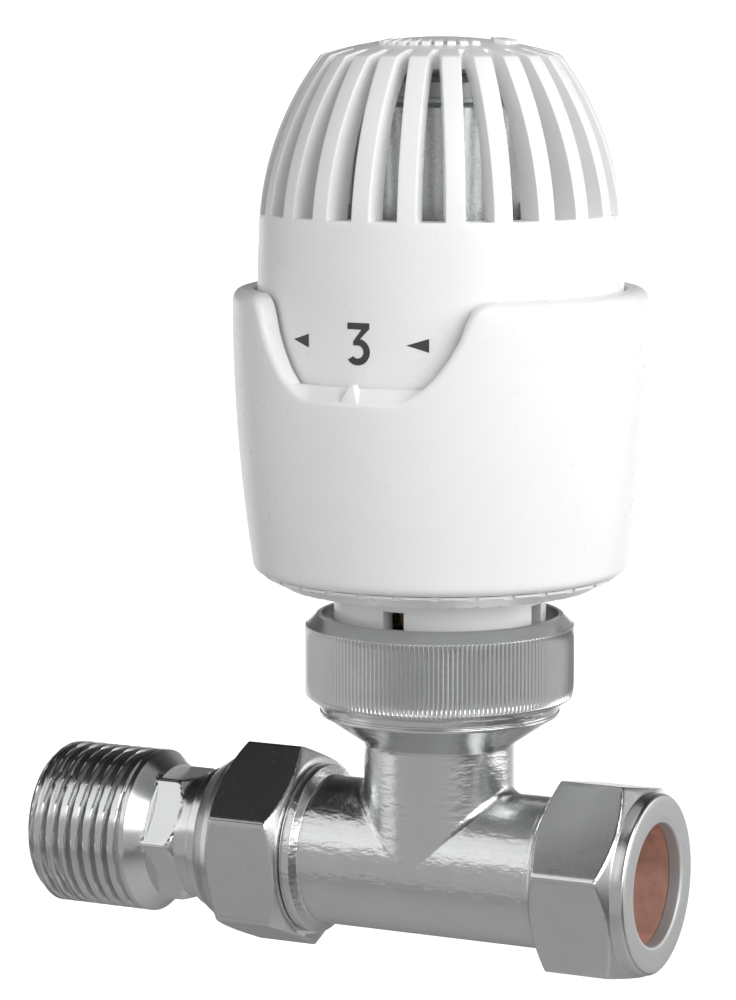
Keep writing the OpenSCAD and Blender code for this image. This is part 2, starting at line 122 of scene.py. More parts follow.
def to_world(kind, radius, angle, along):
    """Metres in the row frame from polar millimetres in the head's or the run's local frame."""
    c, s = np.cos(angle), np.sin(angle)
    if kind == "head":
        xyz = (HEAD_X + radius * c, radius * s, along + 0 * c)
    else:
        xyz = (HEAD_X + along + 0 * c, radius * c, radius * s)
    return np.stack(np.broadcast_arrays(*xyz), axis=-1) * MM


def rounded(outline, steps=5):
    """A closed outline whose corners (r, z, radius) are turned into arcs."""
    out = []
    count = len(outline)
    for i, corner in enumerate(outline):
        here = Vector(corner[:2])
        radius = corner[2] if len(corner) > 2 else 0
        back = Vector(outline[i - 1][:2]) - here
        ahead = Vector(outline[(i + 1) % count][:2]) - here
        if radius == 0 or back.length < 1e-6 or ahead.length < 1e-6:
            out.append((here.x, here.y))
            continue
        half = back.angle(ahead) / 2
        if half > FLAT_CORNER:
            out.append((here.x, here.y))
            continue
        reach = min(radius / math.tan(half), 0.48 * back.length, 0.48 * ahead.length)
        radius = reach * math.tan(half)
        back.normalize()
        ahead.normalize()
        centre = here + (back + ahead).normalized() * (radius / math.sin(half))
        first = here + back * reach - centre
        last = here + ahead * reach - centre
        span = first.angle(last)
        for k in range(steps + 1):
            w = k / steps
            mixed = first * math.sin((1 - w) * span) + last * math.sin(w * span)
            point = centre + mixed / math.sin(span)
            out.append((max(point.x, 0.0), point.y))
    return out


def divided(outline, longest):
    """The closed outline with its long sides cut into pieces no longer than this."""
    out = []
    for i, (r, z) in enumerate(outline):
        r2, z2 = outline[(i + 1) % len(outline)]
        pieces = max(1, math.ceil(math.hypot(r2 - r, z2 - z) / longest))
        out += [(r + (r2 - r) * k / pieces, z + (z2 - z) * k / pieces) for k in range(pieces)]
    return out


def finish_mesh(name, vertices, faces, material, crease=32):
    """A mesh object with doubled points merged, normals outwards and smooth shading up to a crease angle."""
    mesh = bpy.data.meshes.new(name)
    mesh.from_pydata([tuple(v) for v in vertices], [], [tuple(f) for f in faces])
    tidy = bmesh.new()
    tidy.from_mesh(mesh)
    bmesh.ops.remove_doubles(tidy, verts=tidy.verts, dist=2e-7)
    bmesh.ops.dissolve_degenerate(tidy, dist=1e-8, edges=tidy.edges)
    bmesh.ops.recalc_face_normals(tidy, faces=tidy.faces)
    if tidy.calc_volume(signed=True) < 0:
        bmesh.ops.reverse_faces(tidy, faces=tidy.faces)
    tidy.to_mesh(mesh)
    tidy.free()
    mesh.polygons.foreach_set("use_smooth", [True] * len(mesh.polygons))
    if crease:
        mesh.set_sharp_from_angle(angle=math.radians(crease))
    piece = bpy.data.objects.new(name, mesh)
    bpy.context.scene.collection.objects.link(piece)
    mesh.materials.append(material)
    return piece


def ring_faces(rings, sides, closed=True):
    """Quads between neighbouring rings of points, the last ring joined to the first if closed."""
    faces = []
    for j in range(rings if closed else rings - 1):
        a, b = j * sides, ((j + 1) % rings) * sides
        faces += [(a + k, a + (k + 1) % sides, b + (k + 1) % sides, b + k) for k in range(sides)]
    return faces


def lathe(name, outline, kind, material, sides=192, crease=32):
    """A turned solid from a closed outline of (r, along)."""
    angle = np.linspace(0, 2 * np.pi, sides, endpoint=False)
    points = np.concatenate([to_world(kind, r, angle, z) for r, z in outline])
    return finish_mesh(name, points, ring_faces(len(outline), sides), material, crease)


def polar_solid(name, outline, angle, shape, kind, material, crease=32):
    """A turned solid whose radius at each angle is shape(r, angle, along) of its outline's radius."""
    rings = [to_world(kind, shape(r, angle, z), angle, z) for r, z in outline]
    return finish_mesh(name, np.concatenate(rings), ring_faces(len(rings), len(angle)), material, crease)


def softer_min(a, b, width):
    """The smaller of two values, with the corner between them rounded off over a width."""
    h = np.clip(width - np.abs(a - b), 0, None) / width
    return np.minimum(a, b) - h * h * width / 4


def hexagon_radius(angle, flats, turn):
    """Radius of a regular hexagon at each angle, its corners slightly rounded."""
    corner_loss, corner_width = 0.10, np.radians(1.1)
    sector = np.radians(60)
    off = (angle - turn + sector / 2) % sector - sector / 2
    one = flats / 2 / np.cos(sector / 2 - np.abs(off))
    return one - corner_loss * np.exp(-(off / corner_width) ** 2)


def hexagon_angles(turn, per_side=48):
    """Angles round a hexagon, closer together near its corners."""
    w = np.linspace(-1, 1, per_side, endpoint=False)
    off = np.sign(w) * np.abs(w) ** 1.6 * np.radians(30)
    return np.concatenate([turn + np.radians(60 * k) + off for k in range(6)])


def add_modifier(piece, kind, **values):
    modifier = piece.modifiers.new(kind.lower(), kind)
    for key, value in values.items():
        setattr(modifier, key, value)
    return modifier


def stand_in(piece, node, body):
    """The piece rides on the body and is shown in place of the CAD node."""
    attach(piece, body)
    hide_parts(node)


# ---- Materials ----

class Nodes:
    """Short names for the nodes of one material."""

    def __init__(self, name):
        self.material = bpy.data.materials.new(name)
        self.material.use_nodes = True
        self.tree = self.material.node_tree
        self.shader = self.tree.nodes["Principled BSDF"]
        self.coords = self.tree.nodes.new("ShaderNodeTexCoord").outputs["Object"]

    def new(self, kind, **values):
        node = self.tree.nodes.new(kind)
        for key, value in values.items():
            if hasattr(node, key):
                setattr(node, key, value)
            else:
                node.inputs[key].default_value = value
        return node

    def link(self, source, target):
        self.tree.links.new(source, target)

    def noise(self, scale, detail=3.0, roughness=0.55, stretch=(1, 1, 1)):
        """Noise with features about 1/scale metres long, squeezed by stretch along each axis."""
        mapping = self.new("ShaderNodeMapping")
        mapping.inputs["Scale"].default_value = stretch
        self.link(self.coords, mapping.inputs["Vector"])
        noise = self.new("ShaderNodeTexNoise")
        noise.inputs["Scale"].default_value = scale
        noise.inputs["Detail"].default_value = detail
        noise.inputs["Roughness"].default_value = roughness
        self.link(mapping.outputs["Vector"], noise.inputs["Vector"])
        return noise.outputs["Fac"]

    def ramp(self, source, stops):
        """Colour ramp with stops of (position, grey or colour)."""
        ramp = self.new("ShaderNodeValToRGB")
        elements = ramp.color_ramp.elements
        while len(elements) < len(stops):
            elements.new(0.5)
        for element, (position, value) in zip(elements, stops):
            element.position = position
            element.color = (*value, 1) if isinstance(value, tuple) else (value, value, value, 1)
        self.link(source, ramp.inputs["Fac"])
        return ramp.outputs["Color"]

    def bump(self, height, strength, distance, below=None):
        node = self.new("ShaderNodeBump")
        node.inputs["Strength"].default_value = strength
        node.inputs["Distance"].default_value = distance
        self.link(height, node.inputs["Height"])
        if below is not None:
            self.link(below, node.inputs["Normal"])
        return node.outputs["Normal"]

    def duller_inside(self, sheen, radius, dull=0.62):
        """Roughness that rises to a dull value closer to the run's axis than this radius."""
        split = self.new("ShaderNodeSeparateXYZ")
        self.link(self.coords, split.inputs["Vector"])
        across = self.new("ShaderNodeCombineXYZ")
        self.link(split.outputs["Y"], across.inputs["Y"])
        self.link(split.outputs["Z"], across.inputs["Z"])
        length = self.new("ShaderNodeVectorMath", operation="LENGTH")
        self.link(across.outputs["Vector"], length.inputs[0])
        fade = self.new("ShaderNodeMapRange")
        for socket, value in zip(("From Min", "From Max", "To Min"), (radius, radius + 0.0002, dull)):
            fade.inputs[socket].default_value = value
        self.link(length.outputs["Value"], fade.inputs["Value"])
        self.link(sheen, fade.inputs["To Max"])
        return fade.outputs["Result"]

    def finish(self, normal=None, **constants):
        for key, value in constants.items():
            self.shader.inputs[key.replace("_", " ")].default_value = value
        if normal is not None:
            self.link(normal, self.shader.inputs["Normal"])
        return self.material


def white_plastic(name, tone=(0.92, 0.922, 0.92), grain=0.5):
    """Moulded white plastic: soft gloss, faint flow shade and a very fine skin."""
    n = Nodes(name)
    shade = n.noise(60, 2)
    low = tuple(c * 0.975 for c in tone)
    n.link(n.ramp(shade, [(0.3, low), (0.7, tone)]), n.shader.inputs["Base Color"])
    n.link(n.ramp(n.noise(900, 3), [(0.3, 0.27), (0.7, 0.36)]), n.shader.inputs["Roughness"])
    skin = n.bump(n.noise(4500, 2), 0.06 * grain, 0.00003)
    wave = n.bump(n.noise(130, 1), 0.06, 0.0002, skin)
    return n.finish(wave, IOR=1.5)


def plated_metal(name, along=None, tone=(0.645, 0.655, 0.652), rough=(0.14, 0.26), pits=0.25, lines=0.0,
                 ripple=0.0, bore_r=None):
    """Nickel-chrome plate: fine pits, optional turning lines along an axis, a cast ripple or a dull bore."""
    n = Nodes(name)
    patch = n.noise(260, 4, 0.6)
    dull = tuple(c * 0.96 for c in tone)
    n.link(n.ramp(patch, [(0.30, dull), (0.62, tone)]), n.shader.inputs["Base Color"])
    spots = n.noise(2300, 3, 0.7)
    sheen = n.ramp(spots, [(0.25, rough[0]), (0.75, rough[1])])
    if bore_r:
        sheen = n.duller_inside(sheen, bore_r)
    n.link(sheen, n.shader.inputs["Roughness"])
    normal = n.bump(n.noise(4200, 3, 0.65), pits, 0.00002)
    if ripple:
        stretch = (1, 1, 2.6)
        normal = n.bump(n.noise(620, 3, 0.5, stretch), ripple, 0.00022, normal)
    if lines:
        stretch = tuple(14 if axis == along else 0.35 for axis in "xyz")
        normal = n.bump(n.noise(420, 2, 0.5, stretch), lines, 0.00005, normal)
    return n.finish(normal, Metallic=1.0, IOR=1.5)


def plain_metal(name, tone, rough=(0.2, 0.34), grain=0.3, along="z", metallic=1.0):
    """Bare metal with drawn lines along one axis and patches of tarnish."""
    n = Nodes(name)
    dull = tuple(c * 0.72 for c in tone)
    n.link(n.ramp(n.noise(420, 4, 0.6), [(0.3, dull), (0.65, tone)]), n.shader.inputs["Base Color"])
    n.link(n.ramp(n.noise(1500, 3), [(0.3, rough[0]), (0.7, rough[1])]), n.shader.inputs["Roughness"])
    stretch = tuple(12 if axis == along else 0.5 for axis in "xyz")
    normal = n.bump(n.noise(500, 2, 0.5, stretch), grain, 0.00005)
    normal = n.bump(n.noise(2600, 3), grain * 0.6, 0.00004, normal)
    return n.finish(normal, Metallic=metallic)


def dull_plastic(name, tone, rough=(0.42, 0.58), grain=0.3):
    """Moulded engineering plastic or rubber with a fine matt skin."""
    n = Nodes(name)
    dull = tuple(c * 0.82 for c in tone)
    n.link(n.ramp(n.noise(300, 3), [(0.3, dull), (0.7, tone)]), n.shader.inputs["Base Color"])
    n.link(n.ramp(n.noise(1200, 3), [(0.3, rough[0]), (0.7, rough[1])]), n.shader.inputs["Roughness"])
    return n.finish(n.bump(n.noise(3800, 3), grain, 0.00005), IOR=1.49)


ABS = white_plastic("white_abs")
ABS_FIXED = white_plastic("white_abs_fixed", tone=(0.915, 0.917, 0.917))
RING_WHITE = white_plastic("base_ring_white", tone=(0.88, 0.89, 0.89))
INK = dull_plastic("dial_ink", (0.055, 0.058, 0.062), (0.45, 0.6), 0.15)
BODY_PLATE = plated_metal("plated_body", ripple=0.36, pits=0.25, rough=(0.19, 0.26))
NUT_PLATE = plated_metal("plated_nut", along="x", lines=0.01, pits=0.55, rough=(0.22, 0.28))
SOCKET_PLATE = plated_metal("plated_socket_nut", along="x", lines=0.01, pits=0.55, rough=(0.22, 0.28),
                            bore_r=(PIPE_R + 0.2) * MM)
TAIL_PLATE = plated_metal("plated_tail", along="x", lines=0.01, pits=0.12, rough=(0.18, 0.24))
KNURL_PLATE = plated_metal("plated_knurl", pits=0.0, rough=(0.20, 0.27), tone=(0.74, 0.75, 0.748))
BRASS = plain_metal("turned_brass", (0.78, 0.62, 0.33))
COPPER = plain_metal("soft_copper", (0.86, 0.50, 0.40), (0.40, 0.52), 0.2, "x", 0.55)
STEEL = plain_metal("ground_stainless", (0.62, 0.63, 0.64), (0.16, 0.28))
SPRING = plain_metal("spring_wire", (0.5, 0.51, 0.53), (0.24, 0.36))
CAN = plated_metal("sensor_can", along="z", lines=0.01, tone=(0.74, 0.76, 0.77), rough=(0.24, 0.34),
                   pits=0.5)
CAP = plated_metal("sensor_cap_zinc", tone=(0.52, 0.54, 0.55), rough=(0.34, 0.44), pits=0.4)
BELLOWS = plain_metal("formed_tombac", (0.70, 0.52, 0.28))
ACETAL = dull_plastic("natural_acetal", (0.72, 0.72, 0.70), (0.35, 0.48), 0.2)
NYLON = dull_plastic("dark_nylon", (0.035, 0.035, 0.037))
RUBBER = dull_plastic("seal_rubber", (0.02, 0.02, 0.021), (0.6, 0.75), 0.4)
FIBRE = dull_plastic("fibre_seal", (0.06, 0.058, 0.055), (0.7, 0.85), 0.7)


# ---- Knob ----

def crown_height(r):
    edge = ARC_CENTRE_R + math.sqrt(SHOULDER_R ** 2 - (CROWN_EDGE_Z - SHOULDER_Z) ** 2)
    return CROWN_EDGE_Z + math.sqrt(CROWN_R ** 2 - r * r) - math.sqrt(CROWN_R ** 2 - edge * edge)


ARC_CENTRE_R = BAND_R - 0.15 - SHOULDER_R


def shoulder_point(z, inwards=0.0):
    """A point on the knob's shoulder curve, moved in along the curve's own radius."""
    angle = math.asin((z - SHOULDER_Z) / SHOULDER_R)
    reach = SHOULDER_R - inwards
    return ARC_CENTRE_R + reach * math.cos(angle), SHOULDER_Z + reach * math.sin(angle)


def knob_ring(r, z):
    """One ring of the knob: in each rib's pitch seven points over the rib and five over the slot."""
    pitch = 2 * np.pi / RIB_COUNT
    half = min(math.asin(min(RIB_T / 2 / max(r, 0.01), 1)), 0.42 * pitch)
    over_rib = np.linspace(-half, half, 7)
    over_slot = np.linspace(half, pitch - half, 7)[1:-1]
    one = np.concatenate([over_rib, over_slot])
    angle = np.concatenate([one + k * pitch for k in range(RIB_COUNT)]) - np.pi / 2
    return to_world("head", r, angle, z)


def build_knob():
    """The knob as one shell: band, ribs with open slots between them, and crown."""
    chain = 26
    heights = np.linspace(SLOT_FLOOR_Z, CROWN_EDGE_Z - 0.12, chain - 6)
    outer_slot = [shoulder_point(z) for z in heights]
    edge_r = outer_slot[-1][0]
    radii = np.linspace(edge_r - 0.35, SLOT_END_R, 6)
    outer_slot += [(r, crown_height(r)) for r in radii]
    inner_end = (SLOT_END_R, crown_height(SLOT_END_R) - CROWN_T)
    inner_start = (shoulder_point(SLOT_FLOOR_Z, RIB_DEPTH)[0], SLOT_FLOOR_Z)
    bend = shoulder_point(95.0, RIB_DEPTH)
    bend = (bend[0] + 2.6, bend[1] + 0.4)
    inner_slot = []
    for k in range(chain):
        w = k / (chain - 1)
        parts = ((1 - w) ** 2, 2 * w * (1 - w), w * w)
        inner_slot.append(tuple(parts[0] * a + parts[1] * b + parts[2] * c
                                for a, b, c in zip(inner_start, bend, inner_end)))
    low = knob_low[2]
    band = [(BAND_R - 0.35, low), (BAND_R - 0.08, low + 0.12), (BAND_R, low + 0.4)]
    band += [(BAND_R, z) for z in (63.0, 67.0, 71.0, 73.0)]
    band += [(BAND_R - 0.15 * ((z - 73.0) / 5.0) ** 2, z) for z in (74.5, 76.0)]
    band += [shoulder_point(z) for z in (78.0, 79.5, 80.7)]
    crown = [(r, crown_height(r)) for r in (10.0, 8.0, 6.0, 4.0, 2.0, 0.0)]
    under = [(r, crown_height(r) - CROWN_T) for r in (0.0, 3.0, 6.0, 9.0)]
    inside = [(inner_start[0], SLOT_FLOOR_Z - 1.8), (BAND_R - 2.6, SLOT_FLOOR_Z - 2.6),
              (BAND_R - 2, SLOT_FLOOR_Z - 3.6), (BAND_R - 2, 70.0), (BAND_R - 2, low + 0.2),
              (BAND_R - 1.8, low)]
    outline = band + outer_slot + crown + under + inner_slot[::-1] + inside
    first_outer = len(band)
    first_inner = len(band) + chain + len(crown) + len(under)
    per_rib, rib_points = 12, 6
    sides = RIB_COUNT * per_rib
    points = np.concatenate([knob_ring(r, z) for r, z in outline])
    faces = []
    for j in range(len(outline)):
        a, b = j * sides, ((j + 1) % len(outline)) * sides
        in_slot = any(first <= j < first + chain - 1 for first in (first_outer, first_inner))
        for k in range(sides):
            if in_slot and k % per_rib >= rib_points:
                continue
            faces.append((a + k, a + (k + 1) % sides, b + (k + 1) % sides, b + k))
    for rib in range(RIB_COUNT):
        for edge in (rib_points, per_rib):
            k = (rib * per_rib + edge) % sides
            for j in range(chain - 1):
                o, o2 = (first_outer + j) * sides + k, (first_outer + j + 1) * sides + k
                i, i2 = (first_inner + chain - 1 - j) * sides + k, (first_inner + chain - 2 - j) * sides + k
                faces.append((o, o2, i2, i))
        for k in range(rib * per_rib + rib_points, rib * per_rib + per_rib):
            n = (k + 1) % sides
            for o, i in ((first_outer, first_inner + chain - 1), (first_outer + chain - 1, first_inner)):
                faces.append((o * sides + k, o * sides + n, i * sides + n, i * sides + k))
    knob = finish_mesh("knob_shell", points, faces, ABS, crease=None)
    add_modifier(knob, "BEVEL", width=0.22 * MM, segments=2, limit_method="ANGLE",
                 angle_limit=math.radians(28), harden_normals=False, use_clamp_overlap=True)
    add_modifier(knob, "WEIGHTED_NORMAL", keep_sharp=False, weight=60)
    stand_in(knob, "knob", "knob")


build_knob()


# ---- Dial marks ----

def arc(cx, cy, r, start, stop, steps=14):
    return [(cx + r * math.cos(math.radians(start + (stop - start) * k / steps)),
             cy + r * math.sin(math.radians(start + (stop - start) * k / steps))) for k in range(steps + 1)]


DIGITS = {
    "1": [(-0.15, 2.5), (0.65, 2.5), (0.65, -2.5), (-0.17, -2.5), (-0.17, 1.55), (-1.05, 1.05),
          (-1.05, 1.9)],
    "2": arc(0, 0.9, 1.6, 165, -38)
         + [(-0.35, -1.75), (1.55, -1.75), (1.55, -2.5), (-1.55, -2.5), (-1.55, -1.8), (0.75, 0.3)]
         + arc(0, 0.9, 0.8, -25, 165),
    "3": [(-1.45, 2.5), (1.42, 2.5), (1.42, 1.82), (0.2, 0.56)] + arc(-0.1, -0.95, 1.6, 74, -144)
         + arc(-0.1, -0.95, 0.78, -138, 90) + [(-0.68, -0.17), (-0.68, 0.3), (0.42, 1.72), (-1.45, 1.72)],
    "4": [(0.25, 2.5), (0.97, 2.5), (-0.75, -0.75), (0.45, -0.75), (0.45, 0.35), (1.1, 0.35), (1.1, -0.75),
          (1.65, -0.75), (1.65, -1.4), (1.1, -1.4), (1.1, -2.5), (0.45, -2.5), (0.45, -1.4), (-1.7, -1.4),
          (-1.7, -0.85)],
    "5": [(-1.2, 2.5), (1.25, 2.5), (1.25, 1.82), (-0.6, 1.82), (-0.66, 0.62)]
         + arc(-0.12, -0.92, 1.58, 108, -142) + arc(-0.12, -0.92, 0.86, -138, 118) + [(-1.3, 0.2)],
}
FROST = [(r * math.cos(math.radians(a)), r * math.sin(math.radians(a)))
         for k in range(6) for r, a in ((0.42, 60 * k - 30), (2.3, 60 * k - 7), (2.3, 60 * k + 7))]
ARROW = [(-1.35, 0.0), (1.35, -0.82), (1.35, 0.82)]


def dial_mark(name, outline, at_degrees, height):
    """A thin printed mark on the knob's band, laid round the band."""
    proud, deep = 0.05, 0.35
    rings = []
    for radius in (BAND_R - deep, BAND_R + proud):
        angles = np.array([math.radians(at_degrees - 90) + x / BAND_R for x, _ in outline])
        rings.append(to_world("head", radius, angles, np.array([height + y for _, y in outline])))
    count = len(outline)
    faces = [tuple(range(count)), tuple(range(count, 2 * count))]
    faces += [(k, (k + 1) % count, count + (k + 1) % count, count + k) for k in range(count)]
    mark = finish_mesh(name, np.concatenate(rings), faces, INK, crease=30)
    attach(mark, "knob")


MARK_Z = 67.0
ARROW_LEAD = 1.7
for step, label in zip(range(-2, 3), "54321"):
    dial_mark("dial_number_" + label, DIGITS[label], step * DIAL_STEP, MARK_Z)
dial_mark("dial_frost_mark", FROST, 3 * DIAL_STEP, MARK_Z)
for step in range(-3, 3):
    dial_mark("dial_arrow_%d" % (step + 4), ARROW, (step + 0.5) * DIAL_STEP - ARROW_LEAD, MARK_Z)


# ---- Crown marks: two generic rows of raised bars ----

def crown_bar(name, radius, at_degrees, length, width):
    """A raised bar on the crown, bent round the head axis."""
    height, sunk, slope = 0.45, 0.3, 0.1
    count = 10
    spread = length / radius / 2
    middle = math.radians(at_degrees - 90)
    rings = []
    for r, up in ((radius - width / 2, -sunk), (radius - width / 2 + slope, height),
                  (radius + width / 2 - slope, height), (radius + width / 2, -sunk)):
        angle = np.linspace(middle - spread, middle + spread, count)
        rings.append(to_world("head", r, angle, crown_height(r) + up))
    faces = [(j * count + k, j * count + k + 1, (j + 1) % 4 * count + k + 1, (j + 1) % 4 * count + k)
             for j in range(4) for k in range(count - 1)]
    faces += [tuple(j * count for j in range(4)), tuple(j * count + count - 1 for j in range(4))]
    bar = finish_mesh(name, np.concatenate(rings), faces, ABS, crease=None)
    add_modifier(bar, "BEVEL", width=0.12 * MM, segments=2, limit_method="ANGLE",
                 angle_limit=math.radians(30))
    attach(bar, "knob")


BAR_ROWS = ((-24, 9), (84, 8))
BAR_PITCH = 9.5
for row, (first, bars) in enumerate(BAR_ROWS):
    for k in range(bars):
        crown_bar("crown_bar_%d_%d" % (row, k), 8.6, first + BAR_PITCH * k, 0.95, 2.0)


# ---- Skirt ----

WINDOW_END = 24.0
WINDOW = [(0.0, 60.06), (4.6, 60.06), (6.4, 60.22), (8.2, 61.35), (10.4, 63.25), (12.1, 65.4),
          (13.5, 67.6), (14.5, 69.9), (15.5, 71.4), (17.2, 72.1), (19.5, RIM_Z), (WINDOW_END, RIM_Z)]
RAMP_TOP_Z = 61.9
WALL_DRAFT = 0.3
FOOT_ROUND = 1.4
FOOT_HOLE_R = 20.2
FLOOR_UP = 1.4
SIDE_R = 215
WIDEST_Z = 70.0
TURN_R = 25.5


def spline(points, per_span):
    """A smooth curve through 2-D points."""
    pts = [np.array(points[0]) * 2 - points[1]] + [np.array(p) for p in points]
    pts.append(np.array(points[-1]) * 2 - points[-2])
    out = []
    for i in range(1, len(pts) - 2):
        p0, p1, p2, p3 = pts[i - 1:i + 3]
        for k in range(per_span):
            t = k / per_span
            out.append(0.5 * (2 * p1 + (p2 - p0) * t + (2 * p0 - 5 * p1 + 4 * p2 - p3) * t * t
                              + (3 * p1 - p0 - 3 * p2 + p3) * t ** 3))
    return np.array(out + [pts[-2]])


def skirt_side(z):
    """Radius of the skirt's outside, a slow curve from the rim to the foot."""
    return SKIRT_R - (SIDE_R - math.sqrt(SIDE_R ** 2 - (WIDEST_Z - z) ** 2))


def rim_curve():
    """The rim from the front to the back, as distance round the skirt and height."""
    front = spline(WINDOW, 10)
    rest = np.linspace(WINDOW_END, math.pi * TURN_R, 46)[1:]
    return np.concatenate([front, np.stack([rest, np.full(len(rest), RIM_Z)], axis=1)])


def skirt_columns():
    """Each column of the skirt's right half: points from the foot up, over the rim and down the inside."""
    rim = rim_curve()
    tangent = np.gradient(rim, axis=0)
    tangent /= np.linalg.norm(tangent, axis=1)[:, None]
    away = np.stack([tangent[:, 1], -tangent[:, 0]], axis=1)
    foot_z = SKIRT_LOW_Z + FOOT_ROUND
    foot_r = skirt_side(foot_z) - FOOT_ROUND
    columns = []
    for (u, z), normal in zip(rim, away):
        flat = min(max((u - 14.0) / 6.0, 0.0), 1.0)
        flat = flat * flat * (3 - 2 * flat)
        side = min(max((u - 5.5) / 3.0, 0.0), 1.0)
        soft = 0.35 + 0.55 * side + 0.9 * flat
        corner = np.array([u, z])
        start = corner + normal * soft
        inner = np.array([u + WALL_DRAFT * side * (1 - flat), max(z, RAMP_TOP_Z)])
        r_corner = skirt_side(min(z, WIDEST_Z))
        col = [(start[0], SKIRT_LOW_Z + 0.05, FOOT_HOLE_R), (start[0], SKIRT_LOW_Z, FOOT_HOLE_R + 0.5)]
        for k in range(7):
            a = math.radians(-90 + 15 * k)
            col.append((start[0], foot_z + FOOT_ROUND * math.sin(a), foot_r + FOOT_ROUND * math.cos(a)))
        for k in range(1, 12):
            zz = foot_z + (start[1] - foot_z) * k / 12
            col.append((start[0], zz, skirt_side(zz)))
        over = np.array([inner[0] - corner[0], inner[1] - corner[1], RIM_INNER_R - r_corner])
        over_len = np.linalg.norm(over)
        reach = min(soft, 0.7 * over_len)
        p0 = np.array([start[0], start[1], skirt_side(start[1])])
        p1 = np.array([u, z, r_corner])
        p2 = p1 + over / over_len * reach
        for k in range(8):
            w = k / 7
            col.append(tuple((1 - w) ** 2 * p0 + 2 * w * (1 - w) * p1 + w * w * p2))
        p3 = np.array([inner[0], inner[1], RIM_INNER_R])
        lip = min(0.25, 0.2 * over_len)
        p4 = p3 - over / over_len * lip
        p5 = p3 + np.array([0, -lip, 0])
        for w in (0.0, 0.5):
            col.append(tuple(p2 + (p4 - p2) * w))
        for k in range(4):
            w = k / 3
            col.append(tuple((1 - w) ** 2 * p4 + 2 * w * (1 - w) * p3 + w * w * p5))
        for zz in (58.5, 56.0):
            col.append((inner[0], min(zz, p5[1] - 0.3), RIM_INNER_R))
        col += [(inner[0], SKIRT_LOW_Z + up, r)
                for up, r in ((FLOOR_UP + 2.5, 21.3), (FLOOR_UP, 21.3), (FLOOR_UP, FOOT_HOLE_R))]
        columns.append(col)
    return columns


def build_skirt():
    """The fixed shell round the knob, with its dial window."""
    right = skirt_columns()
    mirrored = [[(-u, z, r) for u, z, r in col] for col in right[-2:0:-1]]
    columns = right + mirrored
    rows = len(columns[0])
    points = []
    for col in columns:
        for u, z, r in col:
            a = u / TURN_R - math.pi / 2
            points.append(((HEAD_X + r * math.cos(a)) * MM, r * math.sin(a) * MM, z * MM))
    skirt = finish_mesh("skirt_shell", points, ring_faces(len(columns), rows), ABS_FIXED, crease=38)
    stand_in(skirt, "skirt", BODY_FIXED)


build_skirt()


def build_pointer():
    """The small wedge on the window's ramp that the dial is read against."""
    back = 23.3
    ring = []
    for half, z, front in ((1.3, 59.95, 25.3), (0.95, 60.9, 25.1), (0.32, 62.3, 24.4)):
        ring.append([(-half, z, back), (-half, z, front - 0.12), (half, z, front), (half, z, back)])
    points = [((HEAD_X + u) * MM, -r * MM, z * MM) for row in ring for u, z, r in row]
    faces = [(a + k, a + (k + 1) % 4, a + 4 + (k + 1) % 4, a + 4 + k) for a in (0, 4) for k in range(4)]
    faces += [(0, 1, 2, 3), (8, 9, 10, 11)]
    wedge = finish_mesh("dial_pointer", points, faces, ABS_FIXED, crease=None)
    add_modifier(wedge, "BEVEL", width=0.12 * MM, segments=2, limit_method="ANGLE",
                 angle_limit=math.radians(25))
    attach(wedge, BODY_FIXED)


build_pointer()


# ---- Head nut ----

KNURL_R = 16.75
KNURL_COUNT = 180
KNURL_DEPTH = 0.40
KNURL_Z = (21.4, 30.3)
KNURL_INSIDE_R = 15.2
KNURL_FADE = 0.25


def knurled(r, angle, z):
    """Fine straight ridges over the knurl's height, sunk from the outside."""
    if r < KNURL_INSIDE_R:
        return r + 0 * angle
    phase = (angle * KNURL_COUNT / (2 * np.pi)) % 1.0
    sink = np.abs(phase - 0.5) * 2
    sink = sink ** 1.4
    ends = min(z - KNURL_Z[0], KNURL_Z[1] - z)
    fade = min(max(ends / KNURL_FADE, 0.0), 1.0)
    return r - KNURL_DEPTH * sink * fade


def build_head_nut():
    outline = rounded([
        (15.05, 20.6, 0.1), (15.6, 20.6, 0.15), (16.55, 21.35, 0.1), (KNURL_R, 21.5, 0.1),
        (KNURL_R, 30.2, 0.1), (16.5, 30.38, 0.1), (15.35, 31.55, 0.2), (14.95, nut_top_z, 0.12),
        (14.75, nut_top_z - 0.05, 0.05), (14.75, 29.4, 0.05), (15.5, 29.4), (15.5, 28.2), (15.05, 28.2)], 3)
    outline = divided(outline, 0.9)
    angle = np.linspace(0, 2 * np.pi, KNURL_COUNT * 6, endpoint=False)
    nut = polar_solid("head_nut_knurled", outline, angle, knurled, "head", KNURL_PLATE, crease=50)
    stand_in(nut, "head_nut", "head_nut")


build_head_nut()


# ---- Union nut, compression nut and tailpiece ----

def hex_shape(flats, turn, low, high, soft=0.22):
    """Radius rule for a turned outline cut by a hexagon between two stations."""
    def shape(r, angle, z):
        if r < flats / 2 - 1.2 or not low <= z <= high:
            return r + 0 * angle
        return softer_min(r + 0 * angle, hexagon_radius(angle, flats, turn), soft)
    return shape


def chamfer(flats, z, direction, steps=9):
    """Points of the turned chamfer at one end of a hexagon, from its face outwards."""
    face_r = flats / 2 - 0.25
    over_r = flats / 2 / math.cos(math.radians(30)) + 0.35
    fall = direction * math.tan(math.radians(30))
    outwards = [(over_r - face_r) * k / steps for k in range(steps + 1)]
    return [(face_r + out, z + fall * out) for out in outwards]


